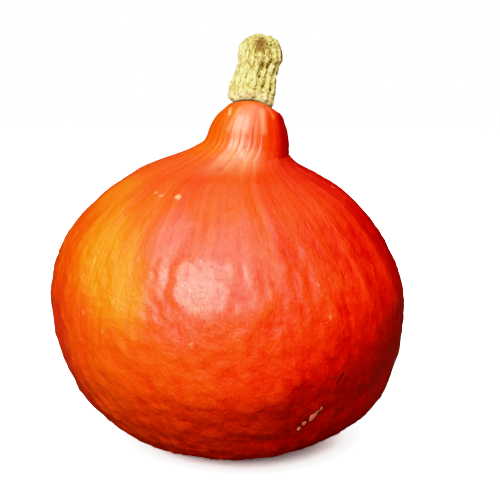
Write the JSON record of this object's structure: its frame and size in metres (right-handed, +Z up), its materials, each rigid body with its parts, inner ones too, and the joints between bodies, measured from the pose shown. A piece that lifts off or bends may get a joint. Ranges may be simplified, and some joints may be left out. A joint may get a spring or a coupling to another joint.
{
  "type": "red onion squash pumpkin",
  "caption": "Whole ripe red onion squash with a round belly, a fluted neck leaning to one side and a dry corky stem, resting upright on its blossom end.",
  "frame": {"origin": "on the surface that the fruit rests on, under the middle of its box", "axes": "+Z up towards the stem, +X to the right, the side that the neck leans to, and -Y the front"},
  "size_m": [0.169, 0.169, 0.1988],
  "materials": {
    "rind": "satin",
    "stem_cork": "matte"
  },
  "bodies": {
    "root": {"fruit": "rind", "stem": "stem_cork"}
  },
  "joints": []
}
